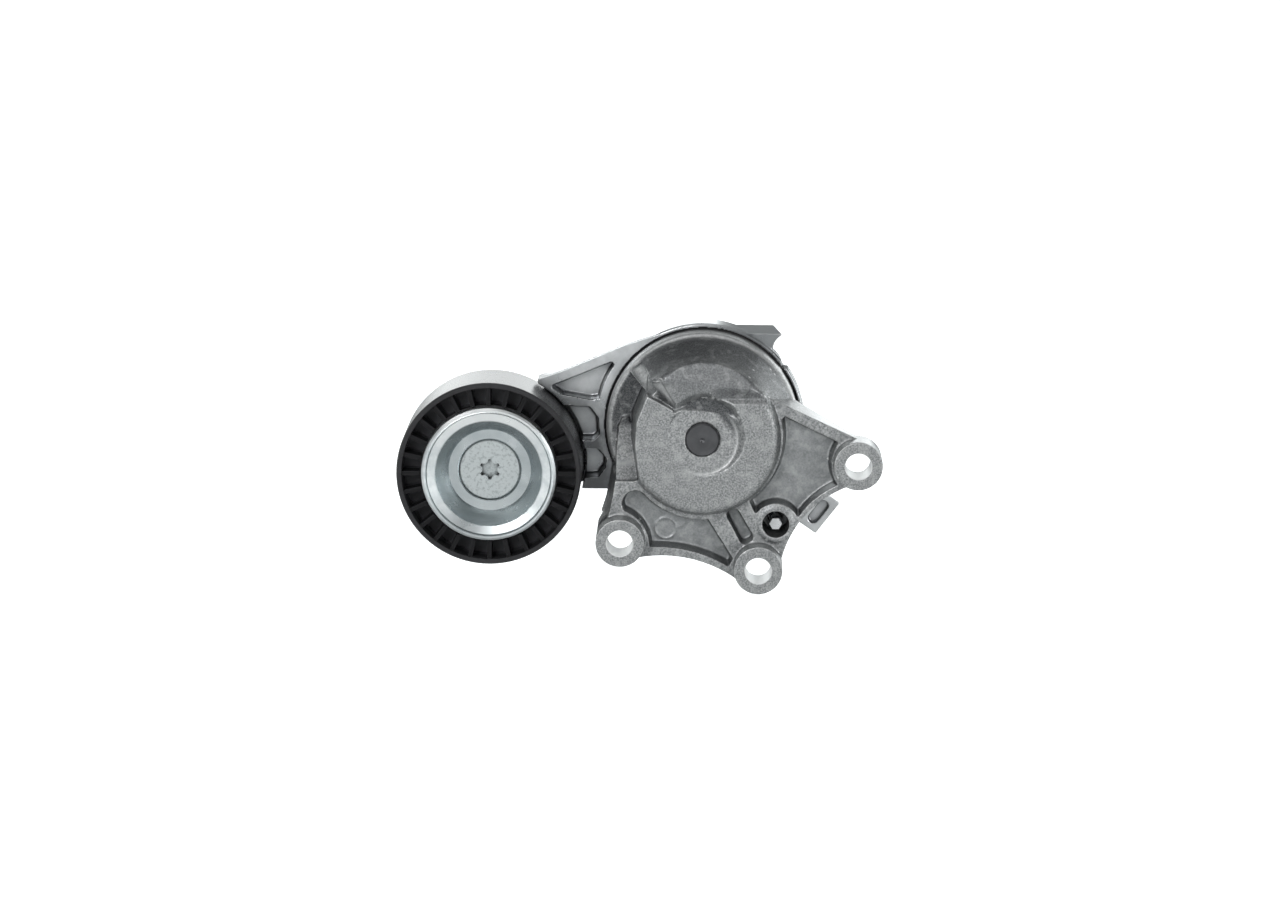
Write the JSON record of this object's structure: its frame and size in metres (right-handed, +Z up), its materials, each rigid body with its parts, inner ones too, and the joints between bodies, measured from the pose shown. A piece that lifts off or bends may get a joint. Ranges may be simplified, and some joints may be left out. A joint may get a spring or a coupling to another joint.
{
  "type": "belt tensioner idler",
  "caption": "Sprung arm on a bolted die-cast base, holding a ribbed belt pulley on a ball bearing against an accessory drive belt.",
  "frame": {"origin": "on the pivot axis, in the plane of the three mounting faces", "axes": "+Z up as the unit is seen in service, +X towards the right-hand ear, +Y away from the engine along the pivot"},
  "size_m": [0.1701, 0.0629, 0.0904],
  "materials": {
    "cast_aluminium_base": "die cast, tumbled",
    "cast_aluminium_arm": "die cast, satin",
    "dark_steel": "phosphated",
    "steel": "ground",
    "zinc_plate": "bright zinc plated",
    "zinc_flake": "zinc flake coated",
    "black_polymer": "glass filled, matte",
    "bush_polymer": "lined bush",
    "seal_rubber": "matte",
    "spring_steel": "black coated"
  },
  "bodies": {
    "base": {"base_housing": "cast_aluminium_base", "pivot_shaft": "dark_steel", "retaining_plate": "dark_steel", "friction_washer": "bush_polymer", "thrust_washer": "bush_polymer", "dust_seal": "seal_rubber", "torsion_spring": "spring_steel"},
    "arm": {"tensioner_arm": "cast_aluminium_arm", "bush_front": "bush_polymer", "bush_rear": "bush_polymer", "spring_guide": "black_polymer", "damping_shoe": "black_polymer", "clamp_spacer": "steel", "bearing_inner_ring": "steel", "dust_cap": "zinc_plate", "rear_dust_shield": "zinc_plate", "pulley_bolt": "zinc_flake"},
    "wheel": {"pulley": "black_polymer", "bearing_outer_ring": "steel", "bearing_seal_front": "seal_rubber", "bearing_seal_rear": "seal_rubber"},
    "ball_set": {"bearing_balls": "steel", "bearing_cage": "black_polymer"},
    "pin": {"locking_pin": "steel"}
  },
  "joints": [
    {"name": "arm_swing", "type": "hinge", "parent": "base", "child": "arm", "pos_m": [0, 0.045, 0], "axis": [0, 1, 0], "range_deg": [-8, 28], "stiffness_Nm_per_rad": 4, "springref_deg": 51.57},
    {"name": "pulley_spin", "type": "hinge", "parent": "arm", "child": "wheel", "pos_m": [-0.075, 0.0316, -0.0146], "axis": [0, 1, 0], "continuous": true},
    {"name": "ball_set_spin", "type": "hinge", "parent": "arm", "child": "ball_set", "pos_m": [-0.075, 0.0316, -0.0146], "axis": [0, 1, 0], "continuous": true},
    {"name": "pin_pull", "type": "slide", "parent": "base", "child": "pin", "axis": [0, 1, 0], "range_m": [0, 0.045]}
  ],
  "couplings": [
    {"joint": "ball_set_spin", "follows": "pulley_spin", "ratio": 0.6178}
  ]
}
